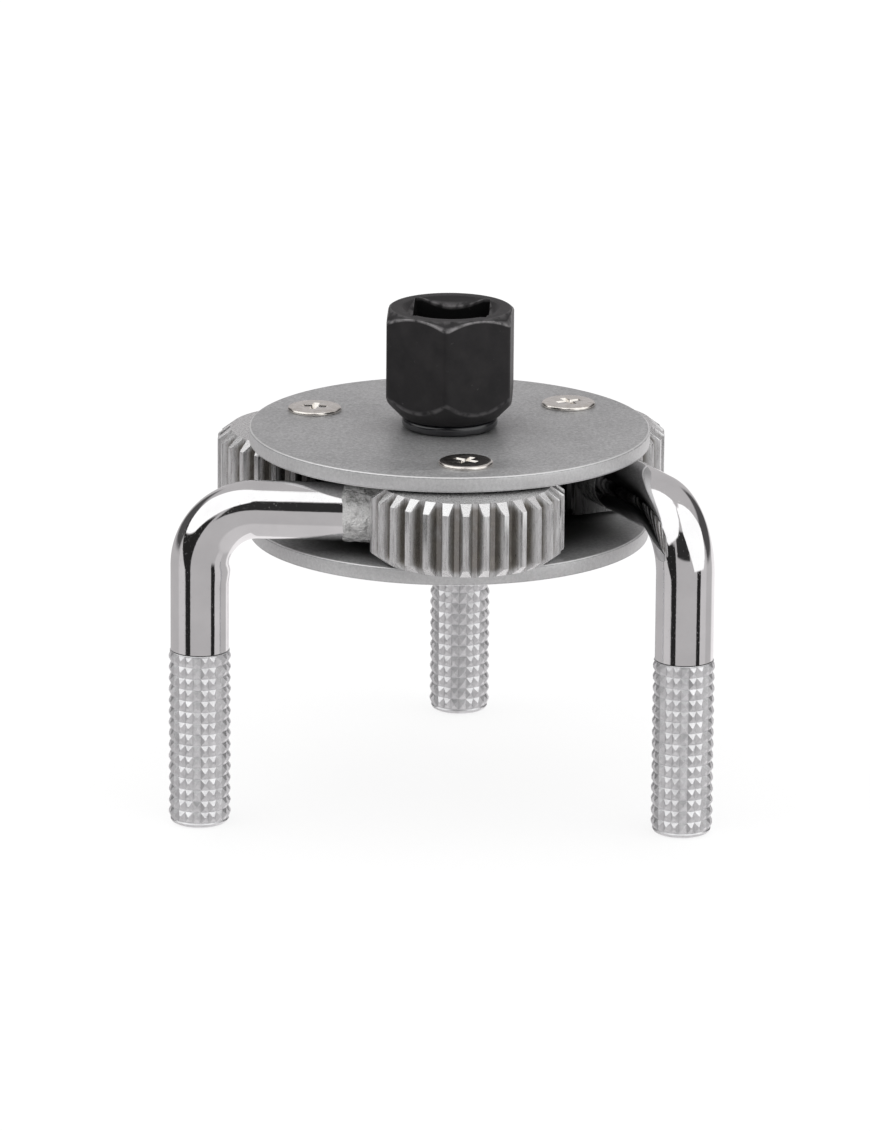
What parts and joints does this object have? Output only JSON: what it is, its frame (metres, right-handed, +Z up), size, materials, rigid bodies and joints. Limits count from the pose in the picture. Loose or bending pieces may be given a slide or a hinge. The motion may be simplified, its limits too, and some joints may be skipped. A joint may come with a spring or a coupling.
{
  "type": "oil filter wrench",
  "caption": "Geared oil filter wrench: a hex drive with a square socket turns gears between round plates, which swing bent arms with knurled grips in on a filter.",
  "frame": {"origin": "on the drive axis, level with the flat tips of the legs", "axes": "+Z up the drive axis, out of the square socket; the first jaw pivots on -Y of the axis"},
  "size_m": [0.0693, 0.0712, 0.0644],
  "materials": {
    "plate_steel": "satin plated steel with a fine matt grain",
    "post_steel": "turned steel",
    "nickel_screw": "nickel plated",
    "black_oxide": "matt black oxide, worn lighter on its edges",
    "black_ring": "gloss black",
    "gear_steel": "machined and zinc plated, darker between the teeth",
    "zinc_washer": "zinc plated",
    "spring_steel": "phosphated spring steel",
    "chrome_rod": "polished chrome",
    "weld_metal": "rough plated weld"
  },
  "bodies": {
    "frame": {"top_plate": "plate_steel", "bottom_plate": "plate_steel", "pivot_post_1": "post_steel", "pivot_post_2": "post_steel", "pivot_post_3": "post_steel", "top_screw_1": "nickel_screw", "top_screw_2": "nickel_screw", "top_screw_3": "nickel_screw", "bottom_screw_1": "nickel_screw", "bottom_screw_2": "nickel_screw", "bottom_screw_3": "nickel_screw"},
    "drive": {"drive_hex": "black_oxide", "thrust_ring": "black_ring", "sun_gear": "gear_steel", "lower_washer": "zinc_washer", "retaining_clip": "spring_steel"},
    "jaw_1": {"planet_gear_1": "gear_steel", "jaw_arm_1": "chrome_rod", "weld_bead_1": "weld_metal"},
    "jaw_2": {"planet_gear_2": "gear_steel", "jaw_arm_2": "chrome_rod", "weld_bead_2": "weld_metal"},
    "jaw_3": {"planet_gear_3": "gear_steel", "jaw_arm_3": "chrome_rod", "weld_bead_3": "weld_metal"}
  },
  "joints": [
    {"name": "drive_spin", "type": "hinge", "parent": "frame", "child": "drive", "pos_m": [0, 0, 0.0415], "axis": [0, 0, 1], "range_deg": [-361, 25.6]},
    {"name": "jaw_1_swing", "type": "hinge", "parent": "frame", "child": "jaw_1", "pos_m": [0, -0.0192, 0.0415], "axis": [0, 0, 1], "range_deg": [-15.4, 216.6]},
    {"name": "jaw_2_swing", "type": "hinge", "parent": "frame", "child": "jaw_2", "pos_m": [0.01663, 0.0096, 0.0415], "axis": [0, 0, 1], "range_deg": [-15.4, 216.6]},
    {"name": "jaw_3_swing", "type": "hinge", "parent": "frame", "child": "jaw_3", "pos_m": [-0.01663, 0.0096, 0.0415], "axis": [0, 0, 1], "range_deg": [-15.4, 216.6]}
  ],
  "couplings": [
    {"joint": "jaw_1_swing", "follows": "drive_spin", "ratio": -0.6},
    {"joint": "jaw_2_swing", "follows": "drive_spin", "ratio": -0.6},
    {"joint": "jaw_3_swing", "follows": "drive_spin", "ratio": -0.6}
  ]
}
